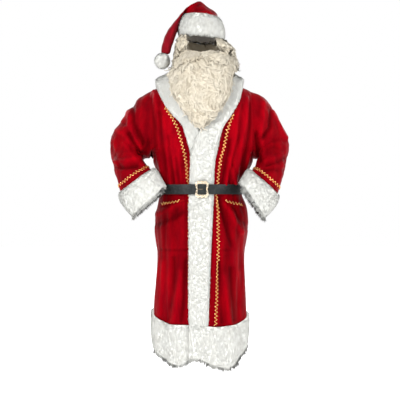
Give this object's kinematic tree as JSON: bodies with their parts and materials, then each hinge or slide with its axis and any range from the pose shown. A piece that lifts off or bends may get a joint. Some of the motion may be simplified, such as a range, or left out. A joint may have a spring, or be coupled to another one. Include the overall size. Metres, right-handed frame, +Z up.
{
  "type": "santa suit, worn robe set with hat, wig, beard and belt",
  "caption": "Worn santa suit: long belted red velour robe with white pile trim and gold braid, matching hat, curly wig and beard, arms bent with cuffs at the waist.",
  "frame": {"origin": "level with the base of the neck, midway between the shoulders, where the wearer's shoulders carry the robe", "axes": "+Z up, towards the hat; the front of the suit faces -Y; the wearer's left is +X"},
  "size_m": [0.8584, 0.43, 1.7225],
  "materials": {
    "velour": "red satin-faced velour, soft sheen",
    "trim": "white long-pile plush",
    "curls": "cream synthetic curls, matt",
    "braid": "gold metallic zigzag braid",
    "leather": "black grained, slightly glossy",
    "buckle": "pale gold plated, ornate"
  },
  "bodies": {
    "root": {"robe_front_right": "velour", "sleeve_right": "velour", "pocket_flap_right": "velour", "front_trim_right": "trim", "hem_trim_right": "trim", "cuff_trim_right": "trim", "front_braid_right": "braid", "sleeve_braid_right": "braid", "flap_braid_right": "braid", "robe_front_left": "velour", "sleeve_left": "velour", "pocket_flap_left": "velour", "front_trim_left": "trim", "hem_trim_left": "trim", "cuff_trim_left": "trim", "front_braid_left": "braid", "sleeve_braid_left": "braid", "flap_braid_left": "braid", "robe_back": "velour", "hem_trim_back": "trim", "belt_strap": "leather", "belt_keeper": "leather", "buckle_frame": "buckle", "buckle_prong": "buckle", "hat_trim": "trim", "hat_crown": "velour", "hat_pompom": "trim", "wig": "curls", "beard": "curls", "moustache": "curls"}
  },
  "joints": []
}
